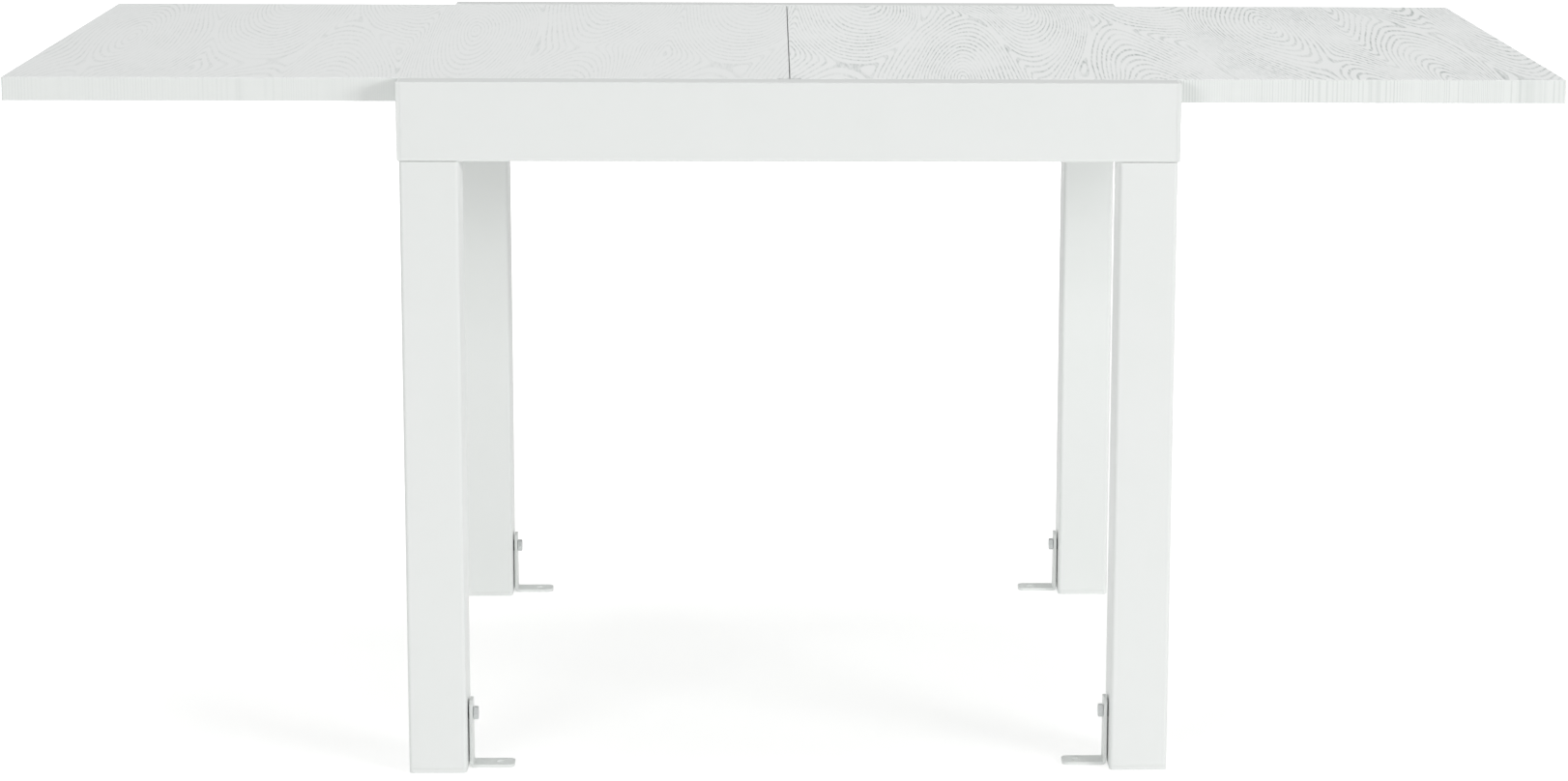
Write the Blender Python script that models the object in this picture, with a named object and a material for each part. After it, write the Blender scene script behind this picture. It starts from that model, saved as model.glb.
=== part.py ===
"""Extending dining table with a slide-and-fold top, in metres, +Z up.

The origin is on the floor under the middle of the base. +X runs along the open top, -Y is the front.
At rest the top is open: two leaves lie side by side between the front and rear rails. To close it,
the right leaf folds over the left one about the seam, and both slide along the rails until they are
centred over the legs.
"""

import math

import bmesh
import bpy
from mathutils import Vector

# The whole table, with its top open
TOP_LENGTH = 1.650
TABLE_DEPTH = 0.800
TABLE_HEIGHT = 0.750

# Fits between neighbours
SEAT_GAP = 0.0003  # faces that rest on each other
RUNNING_GAP = 0.0005  # round a piece that slides or turns
HOLE_GAP = 0.0003  # round a bolt or a pin in its hole
LEAST_RADIUS = 0.0004  # inner corners that are close to sharp
CUT_MARGIN = 0.002  # how far a cut runs past the wall it opens

# Side rails and their end caps
RAIL_LENGTH = 0.822
RAIL_WIDTH = 0.034
RAIL_HEIGHT = 0.084
RAIL_WALL = 0.002
RAIL_TOP_RADIUS = 0.0015
RAIL_BOTTOM_RADIUS = 0.004
CAP_THICKNESS = 0.0045
CAP_EDGE = 0.0008
CAP_SPIGOT = 0.012

# Leaves
LEAF_THICKNESS = 0.025
LEAF_SIDE_GAP = 0.0015
LEAF_CORNER_RADIUS = 0.002
SEAM_GAP = 0.0009
SKIN_THICKNESS = 0.0012
SKIN_EDGE = 0.0008

# Legs, the plates that close their tops, and their bolts
LEG_WIDTH = 0.062
LEG_WALL = 0.0025
LEG_RADIUS = 0.004
LEG_INSET = 0.002
LEG_JOINT_GAP = 0.0004
LEG_PLATE_THICKNESS = 0.006
LEG_BOLT_DIAMETER = 0.006
LEG_BOLT_HEAD_ACROSS = 0.010
LEG_BOLT_HEAD_HEIGHT = 0.004
LEG_BOLT_TAIL = 0.008
FOOT_FLANGE = 0.005
FOOT_PLUG = 0.020
FOOT_EDGE = 0.0008

# Cross rails between the side rails
CROSS_WIDTH = 0.040
CROSS_WALL = 0.002
CROSS_RADIUS = 0.002
CROSS_CLEARANCE = 0.001

# Floor brackets
BRACKET_WIDTH = 0.025
BRACKET_THICKNESS = 0.0035
BRACKET_HEIGHT = 0.075
BRACKET_FOOT = 0.048
BRACKET_BEND = 0.0015
BRACKET_END_RADIUS = 0.007
BRACKET_HOLE_DIAMETER = 0.009
BRACKET_HOLE_TO_END = 0.0155
BRACKET_BOLT_HEIGHT = 0.0585
BRACKET_BOLT_DIAMETER = 0.008
BRACKET_BOLT_HEAD_ACROSS = 0.013
BRACKET_BOLT_HEAD_HEIGHT = 0.0055
BRACKET_BOLT_TAIL = 0.006
SPACER_DIAMETER = 0.014
SPACER_THICKNESS = 0.0010

# Slide channels on the rails, and what runs in them
CHANNEL_DEPTH = 0.018
CHANNEL_HEIGHT = 0.022
CHANNEL_WALL = 0.002
CHANNEL_LIP = 0.005
STRIP_THICKNESS = 0.0025
STOP_LENGTH = 0.006
RUNNER_WALL = 0.002
RUNNER_FLANGE = 0.022
RUNNER_WEB_GAP = 0.001
TONGUE_REACH = 0.011
TONGUE_THICKNESS = 0.0025

# Edge hinges at the ends of the seam
FOLD_GAP = 0.0010
PIN_OFFSET = 0.008
PIN_DIAMETER = 0.0035
HINGE_PLATE_LENGTH = 0.046
HINGE_PLATE_THICKNESS = 0.0022
HINGE_PLATE_BELOW_TOP = 0.0038
HINGE_PLATE_HEIGHT = 0.0147
LINK_THICKNESS = 0.002
LINK_WIDTH = 0.008
POCKET_LIP = 0.003
POCKET_MARGIN = 0.0015

# Places that follow from the sizes above
CORNER_STEPS = 5
ROUND_POINTS = 4 * (CORNER_STEPS + 1)
SIDES = {"front": -1, "rear": 1}
ENDS = {"left": -1, "right": 1}
RAIL_BOTTOM = TABLE_HEIGHT - RAIL_HEIGHT
RAIL_CENTER_Y = TABLE_DEPTH / 2 - RAIL_WIDTH / 2
RAIL_INNER_Y = TABLE_DEPTH / 2 - RAIL_WIDTH
RAIL_BODY_HALF = RAIL_LENGTH / 2 - CAP_THICKNESS - SEAT_GAP
LEAF_BOTTOM = TABLE_HEIGHT - LEAF_THICKNESS
LEAF_HALF_DEPTH = RAIL_INNER_Y - LEAF_SIDE_GAP
LEG_CENTER_X = RAIL_LENGTH / 2 - LEG_INSET - LEG_WIDTH / 2
LEG_CENTER_Y = TABLE_DEPTH / 2 - LEG_INSET - LEG_WIDTH / 2
LEG_TOP = RAIL_BOTTOM - LEG_JOINT_GAP
LEG_PLATE_TOP = RAIL_BOTTOM - SEAT_GAP
STRIP_TOP = LEAF_BOTTOM - SEAT_GAP
CHANNEL_TOP = STRIP_TOP - STRIP_THICKNESS - SEAT_GAP
CHANNEL_BOTTOM = CHANNEL_TOP - CHANNEL_HEIGHT
CHANNEL_MIDDLE = (CHANNEL_TOP + CHANNEL_BOTTOM) / 2
CHANNEL_BACK = RAIL_INNER_Y - SEAT_GAP
CHANNEL_MOUTH = CHANNEL_BACK - CHANNEL_DEPTH
RUNNER_WEB = CHANNEL_MOUTH - RUNNER_WEB_GAP
TONGUE_TIP = RUNNER_WEB + TONGUE_REACH
SLIDE_TRAVEL = (TOP_LENGTH + SEAM_GAP) / 4
RUNNER_START = -(RAIL_BODY_HALF - STOP_LENGTH - SEAT_GAP)
RUNNER_END = -RUNNER_START - SLIDE_TRAVEL
BRACKET_BACK = LEG_WIDTH / 2 + SPACER_THICKNESS + 2 * SEAT_GAP
FOLD_AXIS_Z = TABLE_HEIGHT + FOLD_GAP / 2
PIN_Z = FOLD_AXIS_Z - PIN_OFFSET
LINK_SHORT = 2 * PIN_OFFSET
LINK_LONG = LINK_SHORT * math.sqrt(2)
POCKET_DEPTH = SEAT_GAP + HINGE_PLATE_THICKNESS + SEAT_GAP + LINK_THICKNESS + SEAT_GAP
POCKET_LENGTH = HINGE_PLATE_LENGTH + POCKET_MARGIN
POCKET_BOTTOM = PIN_Z - (LINK_LONG - LINK_SHORT) - LINK_WIDTH / 2 - POCKET_MARGIN
NOTCH_HALF = PIN_OFFSET + LINK_WIDTH / 2 + RUNNING_GAP


for old in list(bpy.data.objects):
    bpy.data.objects.remove(old, do_unlink=True)


def finish(name, color, roughness, metallic=0.0):
    """A plain material with one colour, roughness and metallic value."""
    made = bpy.data.materials.new(name)
    made.use_nodes = True
    shader = made.node_tree.nodes["Principled BSDF"]
    shader.inputs["Base Color"].default_value = (*color, 1.0)
    shader.inputs["Roughness"].default_value = roughness
    shader.inputs["Metallic"].default_value = metallic
    return made


WHITE_COAT = finish("white_powder_coat", (0.79, 0.82, 0.80), 0.45)
WHITE_PLASTIC = finish("white_plastic", (0.78, 0.80, 0.79), 0.50)
WOOD_GRAIN = finish("white_wood_grain_laminate", (0.76, 0.79, 0.78), 0.55)
BOARD = finish("core_board", (0.55, 0.43, 0.30), 0.80)
NYLON = finish("grey_nylon", (0.45, 0.46, 0.47), 0.45)
MILL_ALUMINIUM = finish("mill_aluminium", (0.72, 0.73, 0.74), 0.40, 1.0)
ZINC_STEEL = finish("zinc_plated_steel", (0.66, 0.67, 0.68), 0.35, 1.0)
COATED_STEEL = finish("light_grey_coated_steel", (0.72, 0.74, 0.73), 0.45)


def joint_axis(name, at):
    """An empty on a joint's axis, which carries the pieces that move on it."""
    axis = bpy.data.objects.new(name, None)
    axis.empty_display_size = 0.05
    axis.location = at
    bpy.context.scene.collection.objects.link(axis)
    return axis


def solid(name, shape, surface, at=(0, 0, 0), turn=0.0, carrier=None):
    """An object from a bmesh, placed in world space and carried by a joint's empty if one is named."""
    mesh = bpy.data.meshes.new(name)
    shape.to_mesh(mesh)
    shape.free()
    mesh.shade_smooth()
    mesh.set_sharp_from_angle(angle=math.radians(35))
    if surface:
        mesh.materials.append(surface)
    made = bpy.data.objects.new(name, mesh)
    made.location = Vector(at) - (carrier.location if carrier else Vector())
    made.rotation_euler.z = turn
    made.parent = carrier
    bpy.context.scene.collection.objects.link(made)
    return made


def tool(name, shape, at=(0, 0, 0), turn=0.0):
    """A hidden shape that cuts holes or adds bosses."""
    made = solid(name, shape, None, at, turn)
    made.hide_render = True
    made.display_type = "WIRE"
    return made


def combine(target, other, operation="DIFFERENCE"):
    change = target.modifiers.new(other.name, "BOOLEAN")
    change.operation = operation
    change.solver = "EXACT"
    change.object = other


def rounded_outline(corners):
    """A closed outline through (u, v, radius) corners, each rounded by an arc that meets its two edges."""
    points = []
    for i, (u, v, radius) in enumerate(corners):
        here = Vector((u, v))
        back = (Vector(corners[i - 1][:2]) - here).normalized()
        ahead = (Vector(corners[(i + 1) % len(corners)][:2]) - here).normalized()
        if radius == 0:
            points.append((u, v))
            continue
        half = back.angle(ahead) / 2
        center = here + (back + ahead).normalized() * (radius / math.sin(half))
        first = here + back * (radius / math.tan(half)) - center
        last = here + ahead * (radius / math.tan(half)) - center
        start = math.atan2(first.y, first.x)
        sweep = math.remainder(math.atan2(last.y, last.x) - start, 2 * math.pi)
        for step in range(CORNER_STEPS + 1):
            angle = start + sweep * step / CORNER_STEPS
            points.append((center.x + radius * math.cos(angle), center.y + radius * math.sin(angle)))
    return points


def rectangle(low_u, low_v, high_u, high_v, low_radius=0.0, high_radius=None):
    """A rectangle's outline; its two upper corners may have a radius of their own."""
    upper = low_radius if high_radius is None else high_radius
    corners = [
        (low_u, low_v, low_radius),
        (high_u, low_v, low_radius),
        (high_u, high_v, upper),
        (low_u, high_v, upper),
    ]
    return rounded_outline(corners)


def circle(diameter, center=(0.0, 0.0)):
    turns = [2 * math.pi * i / ROUND_POINTS for i in range(ROUND_POINTS)]
    return [(center[0] + diameter / 2 * math.cos(a), center[1] + diameter / 2 * math.sin(a)) for a in turns]


def hexagon(across):
    """A hexagon with as many points as a circle, so that a bolt's head can meet its shank."""
    per_side = ROUND_POINTS // 6
    turns = [math.pi / 3 * i for i in range(6)]
    tips = [Vector((math.cos(a), math.sin(a))) * across / math.sqrt(3) for a in turns]
    sides = zip(tips, tips[1:] + tips[:1])
    return [tuple(a.lerp(b, step / per_side)) for a, b in sides for step in range(per_side)]


def slotted_end(length, diameter):
    """Two half circles joined by straight sides: a link or a slot, along +U from its first centre."""
    half = ROUND_POINTS // 2
    turns = [math.pi / 2 + math.pi * i / half for i in range(half + 1)]
    near = [(diameter / 2 * math.cos(a), diameter / 2 * math.sin(a)) for a in turns]
    return near + [(length - u, -v) for u, v in near]


def ring(outline, level, along):
    """An outline set square across an axis, at a level along it."""
    if along == "X":
        return [(level, u, v) for u, v in outline]
    if along == "Y":
        return [(u, level, v) for u, v in outline]
    return [(u, v, level) for u, v in outline]


def loft(rings, joined=False):
    """One closed body through rings of equally many points; in a tube the last ring meets the first."""
    shape = bmesh.new()
    rows = [[shape.verts.new(point) for point in points] for points in rings]
    pairs = list(zip(rows, rows[1:]))
    if joined:
        pairs.append((rows[-1], rows[0]))
    else:
        shape.faces.new(rows[0])
        shape.faces.new(rows[-1])
    for near, far in pairs:
        for i, vertex in enumerate(near):
            j = (i + 1) % len(near)
            shape.faces.new((vertex, near[j], far[j], far[i]))
    bmesh.ops.recalc_face_normals(shape, faces=shape.faces[:])
    return shape


def prism(outline, low, high, along):
    return loft([ring(outline, low, along), ring(outline, high, along)])


def tube(outer, inner, low, high, along):
    levels = [(outer, low), (outer, high), (inner, high), (inner, low)]
    return loft([ring(outline, level, along) for outline, level in levels], joined=True)


def bolt(across, head_height, diameter, length, along):
    """A hex bolt: its head's bearing face is at zero, its shank runs to minus the length along the axis."""
    head = hexagon(across)
    shank = circle(diameter)
    levels = [(head, head_height), (head, 0.0), (shank, 0.0), (shank, -length)]
    return loft([ring(outline, level, along) for outline, level in levels])


def rail_outline(inset):
    """The rail's section, seen along X from its centre line, moved in by an inset."""
    half = RAIL_WIDTH / 2 - inset
    low_radius = max(RAIL_BOTTOM_RADIUS - inset, LEAST_RADIUS)
    high_radius = max(RAIL_TOP_RADIUS - inset, LEAST_RADIUS)
    return rectangle(-half, RAIL_BOTTOM + inset, half, TABLE_HEIGHT - inset, low_radius, high_radius)


def leg_outline(inset):
    """The leg's square section, moved in by an inset."""
    half = LEG_WIDTH / 2 - inset
    return rectangle(-half, -half, half, half, max(LEG_RADIUS - inset, LEAST_RADIUS))


def build_rails():
    """Both hollow side rails and the caps that plug their ends."""
    wall = rail_outline(RAIL_WALL)
    plug = rail_outline(RAIL_WALL + SEAT_GAP)
    outer_face = RAIL_LENGTH / 2
    seat = outer_face - CAP_THICKNESS
    cap_levels = [
        (rail_outline(CAP_EDGE), outer_face),
        (rail_outline(0), outer_face - CAP_EDGE),
        (rail_outline(0), seat),
        (plug, seat),
        (plug, seat - CAP_SPIGOT),
    ]
    rails = {}
    for side, sign in SIDES.items():
        at = (0, sign * RAIL_CENTER_Y, 0)
        extrusion = tube(rail_outline(0), wall, -RAIL_BODY_HALF, RAIL_BODY_HALF, "X")
        rails[side] = solid(f"{side}_rail", extrusion, WHITE_COAT, at)
        for end, way in ENDS.items():
            cap = loft([ring(outline, level, "X") for outline, level in cap_levels])
            solid(f"rail_cap_{side}_{end}", cap, WHITE_PLASTIC, at, 0.0 if way > 0 else math.pi)
    return rails


def build_cross_rails():
    """Two tubes between the side rails, over the legs and under the slide channels."""
    half_span = RAIL_INNER_Y - SEAT_GAP
    top = CHANNEL_BOTTOM - CROSS_CLEARANCE
    outer = rectangle(-CROSS_WIDTH / 2, RAIL_BOTTOM, CROSS_WIDTH / 2, top, CROSS_RADIUS)
    inner_half = CROSS_WIDTH / 2 - CROSS_WALL
    inner_radius = max(CROSS_RADIUS - CROSS_WALL, LEAST_RADIUS)
    inner = rectangle(-inner_half, RAIL_BOTTOM + CROSS_WALL, inner_half, top - CROSS_WALL, inner_radius)
    reach = RAIL_LENGTH / 2 - LEG_INSET - CROSS_WIDTH / 2
    for end, way in ENDS.items():
        extrusion = tube(outer, inner, -half_span, half_span, "Y")
        solid(f"cross_rail_{end}", extrusion, WHITE_COAT, (way * reach, 0, 0))


def bracket_shape():
    """A bent flat bar: its upright stands off the leg's inner face, its foot lies on the floor along +X."""
    back = BRACKET_BACK
    face = back + BRACKET_THICKNESS
    tip = back + BRACKET_FOOT
    bend = [
        (back, 0, BRACKET_BEND + BRACKET_THICKNESS),
        (tip, 0, 0),
        (tip, BRACKET_THICKNESS, 0),
        (face, BRACKET_THICKNESS, BRACKET_BEND),
        (face, BRACKET_HEIGHT, 0),
        (back, BRACKET_HEIGHT, 0),
    ]
    shape = prism(rounded_outline(bend), -BRACKET_WIDTH / 2, BRACKET_WIDTH / 2, "Y")
    ends = []
    for edge in shape.edges:
        first, second = (vertex.co for vertex in edge.verts)
        on_top = min(first.z, second.z) > BRACKET_HEIGHT - LEAST_RADIUS
        on_tip = min(first.x, second.x) > tip - LEAST_RADIUS
        if (on_top or on_tip) and first.y * second.y > 0:
            ends.append(edge)
    bmesh.ops.bevel(shape, geom=ends, offset=BRACKET_END_RADIUS, segments=6, profile=0.5, affect="EDGES")
    bmesh.ops.recalc_face_normals(shape, faces=shape.faces[:])
    return shape


def build_corner(side, end, rail):
    """A leg with its plate, bolt and foot cap, and the floor bracket on its inner face."""
    sign, way = SIDES[side], ENDS[end]
    place = f"{side}_{end}"
    at = (way * LEG_CENTER_X, sign * LEG_CENTER_Y, 0)
    turn = math.pi if way > 0 else 0.0
    plug = leg_outline(LEG_WALL + SEAT_GAP)

    leg_bottom = FOOT_FLANGE + SEAT_GAP
    extrusion = tube(leg_outline(0), leg_outline(LEG_WALL), leg_bottom, LEG_TOP, "Z")
    leg = solid(f"leg_{place}", extrusion, WHITE_COAT, at, turn)
    foot_levels = [
        (leg_outline(FOOT_EDGE), 0.0),
        (leg_outline(0), FOOT_EDGE),
        (leg_outline(0), FOOT_FLANGE),
        (plug, FOOT_FLANGE),
        (plug, FOOT_FLANGE + FOOT_PLUG),
    ]
    foot = loft([ring(outline, level, "Z") for outline, level in foot_levels])
    solid(f"foot_cap_{place}", foot, WHITE_PLASTIC, at, turn)

    plate_bottom = LEG_PLATE_TOP - LEG_PLATE_THICKNESS
    plate = solid(f"leg_plate_{place}", prism(plug, plate_bottom, LEG_PLATE_TOP, "Z"), ZINC_STEEL, at, turn)
    bolt_at = (at[0], sign * RAIL_CENTER_Y, plate_bottom - SEAT_GAP)
    wall_top = RAIL_BOTTOM + RAIL_WALL
    shank = wall_top + LEG_BOLT_TAIL - bolt_at[2]
    leg_bolt = bolt(LEG_BOLT_HEAD_ACROSS, -LEG_BOLT_HEAD_HEIGHT, LEG_BOLT_DIAMETER, -shank, "Z")
    solid(f"leg_bolt_{place}", leg_bolt, ZINC_STEEL, bolt_at)
    hole = circle(LEG_BOLT_DIAMETER + 2 * HOLE_GAP)
    bore = tool(f"leg_bolt_hole_{place}", prism(hole, -CUT_MARGIN, shank, "Z"), bolt_at)
    combine(plate, bore)
    combine(rail, bore)

    bracket = solid(f"floor_bracket_{place}", bracket_shape(), COATED_STEEL, at, turn)
    face = BRACKET_BACK + BRACKET_THICKNESS
    axis_at = (at[0], at[1], BRACKET_BOLT_HEIGHT)
    head_at = (at[0] - way * (face + SEAT_GAP), at[1], BRACKET_BOLT_HEIGHT)
    wall_inside = LEG_WIDTH / 2 - LEG_WALL
    shank = face + SEAT_GAP - wall_inside + BRACKET_BOLT_TAIL
    hex_bolt = bolt(BRACKET_BOLT_HEAD_ACROSS, BRACKET_BOLT_HEAD_HEIGHT, BRACKET_BOLT_DIAMETER, shank, "X")
    solid(f"bracket_bolt_{place}", hex_bolt, ZINC_STEEL, head_at, turn)
    hole = circle(BRACKET_BOLT_DIAMETER + 2 * HOLE_GAP)
    spacer_low = LEG_WIDTH / 2 + SEAT_GAP
    spacer = tube(circle(SPACER_DIAMETER), hole, spacer_low, spacer_low + SPACER_THICKNESS, "X")
    solid(f"bracket_spacer_{place}", spacer, NYLON, axis_at, turn)
    drill = prism(hole, wall_inside - CUT_MARGIN, face + CUT_MARGIN, "X")
    bore = tool(f"bracket_bolt_hole_{place}", drill, axis_at, turn)
    combine(leg, bore)
    combine(bracket, bore)
    floor_hole = circle(BRACKET_HOLE_DIAMETER, (BRACKET_BACK + BRACKET_FOOT - BRACKET_HOLE_TO_END, 0.0))
    drill = prism(floor_hole, -CUT_MARGIN, BRACKET_THICKNESS + CUT_MARGIN, "Z")
    combine(bracket, tool(f"floor_hole_{place}", drill, at, turn))


def build_slides(slide):
    """On each rail a channel, its glide strip and end stops; in them, the runners under the left leaf."""
    wall = CHANNEL_WALL
    inner_mouth = CHANNEL_MOUTH + wall
    inner_back = CHANNEL_BACK - wall
    low, high = CHANNEL_BOTTOM, CHANNEL_TOP
    channel = [
        (CHANNEL_BACK, low),
        (CHANNEL_BACK, high),
        (CHANNEL_MOUTH, high),
        (CHANNEL_MOUTH, high - CHANNEL_LIP),
        (inner_mouth, high - CHANNEL_LIP),
        (inner_mouth, high - wall),
        (inner_back, high - wall),
        (inner_back, low + wall),
        (inner_mouth, low + wall),
        (inner_mouth, low + CHANNEL_LIP),
        (CHANNEL_MOUTH, low + CHANNEL_LIP),
        (CHANNEL_MOUTH, low),
    ]
    strip = rectangle(CHANNEL_MOUTH, STRIP_TOP - STRIP_THICKNESS, CHANNEL_BACK, STRIP_TOP)
    stop_low, stop_high = low + wall + SEAT_GAP, high - wall - SEAT_GAP
    stop = rectangle(inner_mouth + SEAT_GAP, stop_low, inner_back - SEAT_GAP, stop_high)
    tongue_low = CHANNEL_MIDDLE - TONGUE_THICKNESS / 2
    tongue_high = CHANNEL_MIDDLE + TONGUE_THICKNESS / 2
    runner = [
        (RUNNER_WEB, STRIP_TOP),
        (RUNNER_WEB - RUNNER_FLANGE, STRIP_TOP),
        (RUNNER_WEB - RUNNER_FLANGE, STRIP_TOP - RUNNER_WALL),
        (RUNNER_WEB - RUNNER_WALL, STRIP_TOP - RUNNER_WALL),
        (RUNNER_WEB - RUNNER_WALL, tongue_low),
        (TONGUE_TIP, tongue_low),
        (TONGUE_TIP, tongue_high),
        (RUNNER_WEB, tongue_high),
    ]
    glide_low, glide_high = low + wall + RUNNING_GAP, high - wall - RUNNING_GAP
    glide_near, glide_far = inner_mouth + RUNNING_GAP, inner_back - RUNNING_GAP
    glide = [
        (glide_near, glide_low),
        (glide_far, glide_low),
        (glide_far, glide_high),
        (glide_near, glide_high),
        (glide_near, tongue_high + SEAT_GAP),
        (TONGUE_TIP + SEAT_GAP, tongue_high + SEAT_GAP),
        (TONGUE_TIP + SEAT_GAP, tongue_low - SEAT_GAP),
        (glide_near, tongue_low - SEAT_GAP),
    ]
    half = RAIL_BODY_HALF
    for side, sign in SIDES.items():
        fixed = [
            (f"slide_channel_{side}", channel, -half, half, MILL_ALUMINIUM),
            (f"glide_strip_{side}", strip, -half, half, NYLON),
            (f"channel_stop_{side}_left", stop, -half, STOP_LENGTH - half, NYLON),
            (f"channel_stop_{side}_right", stop, half - STOP_LENGTH, half, NYLON),
        ]
        moving = [
            (f"runner_{side}", runner, RUNNER_START, RUNNER_END, MILL_ALUMINIUM),
            (f"runner_glide_{side}", glide, RUNNER_START, RUNNER_END, NYLON),
        ]
        for carrier, pieces in ((None, fixed), (slide, moving)):
            for name, section, start, stop_x, surface in pieces:
                placed = [(sign * out, up) for out, up in section]
                solid(name, prism(placed, start, stop_x, "X"), surface, carrier=carrier)


def leaf_outline(way, inset):
    """One leaf's plan, moved in by an inset: it runs from the seam to the end of the top."""
    near = way * (SEAM_GAP / 2 + inset)
    far = way * (TOP_LENGTH / 2 - inset)
    half = LEAF_HALF_DEPTH - inset
    radius = max(LEAF_CORNER_RADIUS - inset, LEAST_RADIUS)
    return rectangle(min(near, far), -half, max(near, far), half, radius)


def build_leaf(end, carrier, pockets):
    """A skin that wraps the top and the edges, over a core board; both make room for the hinges."""
    way = ENDS[end]
    inside = leaf_outline(way, SKIN_THICKNESS)
    mid_edge = SKIN_EDGE * (1 - math.sqrt(0.5))
    skin_levels = [
        (inside, TABLE_HEIGHT - SKIN_THICKNESS),
        (inside, LEAF_BOTTOM),
        (leaf_outline(way, 0), LEAF_BOTTOM),
        (leaf_outline(way, 0), TABLE_HEIGHT - SKIN_EDGE),
        (leaf_outline(way, mid_edge), TABLE_HEIGHT - mid_edge),
        (leaf_outline(way, SKIN_EDGE), TABLE_HEIGHT),
    ]
    skin_shape = loft([ring(outline, level, "Z") for outline, level in skin_levels])
    skin = solid(f"{end}_leaf_skin", skin_shape, WOOD_GRAIN, carrier=carrier)
    board = leaf_outline(way, SKIN_THICKNESS + SEAT_GAP)
    core_top = TABLE_HEIGHT - SKIN_THICKNESS - SEAT_GAP
    core = solid(f"{end}_leaf_core", prism(board, LEAF_BOTTOM, core_top, "Z"), BOARD, carrier=carrier)
    for pocket in pockets:
        combine(skin, pocket)
        combine(core, pocket)


def build_hinge_pockets():
    """The recess in the leaves' edges at each end of the seam, open on top where the link swings out."""
    lip = TABLE_HEIGHT - POCKET_LIP
    above = TABLE_HEIGHT + CUT_MARGIN
    outline = [
        (-POCKET_LENGTH, POCKET_BOTTOM),
        (POCKET_LENGTH, POCKET_BOTTOM),
        (POCKET_LENGTH, lip),
        (NOTCH_HALF, lip),
        (NOTCH_HALF, above),
        (-NOTCH_HALF, above),
        (-NOTCH_HALF, lip),
        (-POCKET_LENGTH, lip),
    ]
    floor = LEAF_HALF_DEPTH - POCKET_DEPTH
    outside = LEAF_HALF_DEPTH + CUT_MARGIN
    pockets = []
    for side, sign in SIDES.items():
        recess = prism(outline, sign * floor, sign * outside, "Y")
        pockets.append(tool(f"hinge_pocket_{side}", recess))
    return pockets


def build_hinges(left_carrier, link_carrier, right_carrier):
    """At each end of the seam a plate with a pin on each leaf, and a link whose far hole is a slot."""
    plate_top = TABLE_HEIGHT - HINGE_PLATE_BELOW_TOP
    plate_bottom = plate_top - HINGE_PLATE_HEIGHT
    plate_in = LEAF_HALF_DEPTH - POCKET_DEPTH + SEAT_GAP
    plate_out = plate_in + HINGE_PLATE_THICKNESS
    link_in = plate_out + SEAT_GAP
    link_out = link_in + LINK_THICKNESS
    near = SEAM_GAP / 2 + RUNNING_GAP
    eye = circle(PIN_DIAMETER + 2 * HOLE_GAP)
    for side, sign in SIDES.items():
        for end, carrier in (("left", left_carrier), ("right", right_carrier)):
            way = ENDS[end]
            spans = sorted((way * near, way * HINGE_PLATE_LENGTH))
            outline = rectangle(spans[0], plate_bottom, spans[1], plate_top, SKIN_EDGE)
            blank = prism(outline, sign * plate_in, sign * plate_out, "Y")
            plate = solid(f"hinge_plate_{end}_{side}", blank, ZINC_STEEL, carrier=carrier)
            pin_outline = circle(PIN_DIAMETER, (way * PIN_OFFSET, PIN_Z))
            pin = prism(pin_outline, sign * (plate_in + SEAT_GAP), sign * link_out, "Y")
            combine(plate, tool(f"hinge_pin_{end}_{side}", pin), "UNION")
        pivot = (-PIN_OFFSET, 0, PIN_Z)
        body = prism(slotted_end(LINK_LONG, LINK_WIDTH), sign * link_in, sign * link_out, "Y")
        link = solid(f"hinge_link_{side}", body, ZINC_STEEL, pivot, carrier=link_carrier)
        cut_in, cut_out = sign * (link_in - CUT_MARGIN), sign * (link_out + CUT_MARGIN)
        combine(link, tool(f"link_eye_{side}", prism(eye, cut_in, cut_out, "Y"), pivot))
        slot = slotted_end(LINK_LONG - LINK_SHORT, PIN_DIAMETER + 2 * HOLE_GAP)
        slot_at = (pivot[0] + LINK_SHORT, 0, PIN_Z)
        combine(link, tool(f"link_slot_{side}", prism(slot, cut_in, cut_out, "Y"), slot_at))


def build_table():
    slide = joint_axis("top_slide", (0, 0, LEAF_BOTTOM))
    link_turn = joint_axis("link_turn", (-PIN_OFFSET, 0, PIN_Z))
    leaf_fold = joint_axis("leaf_fold", (0, 0, FOLD_AXIS_Z))
    rails = build_rails()
    build_cross_rails()
    for side in SIDES:
        for end in ENDS:
            build_corner(side, end, rails[side])
    build_slides(slide)
    pockets = build_hinge_pockets()
    build_leaf("left", slide, pockets)
    build_leaf("right", leaf_fold, pockets)
    build_hinges(slide, link_turn, leaf_fold)


build_table()
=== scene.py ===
"""Looks of an extending dining table: its fine surfaces, its finishes and a plain studio round it.

Everything is in metres, in the frame's own coordinates: +X along the open top, -Y to the front, +Z up.
"""

import math

import bmesh
import bpy
import numpy as np
from mathutils import Matrix, Vector


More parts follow.
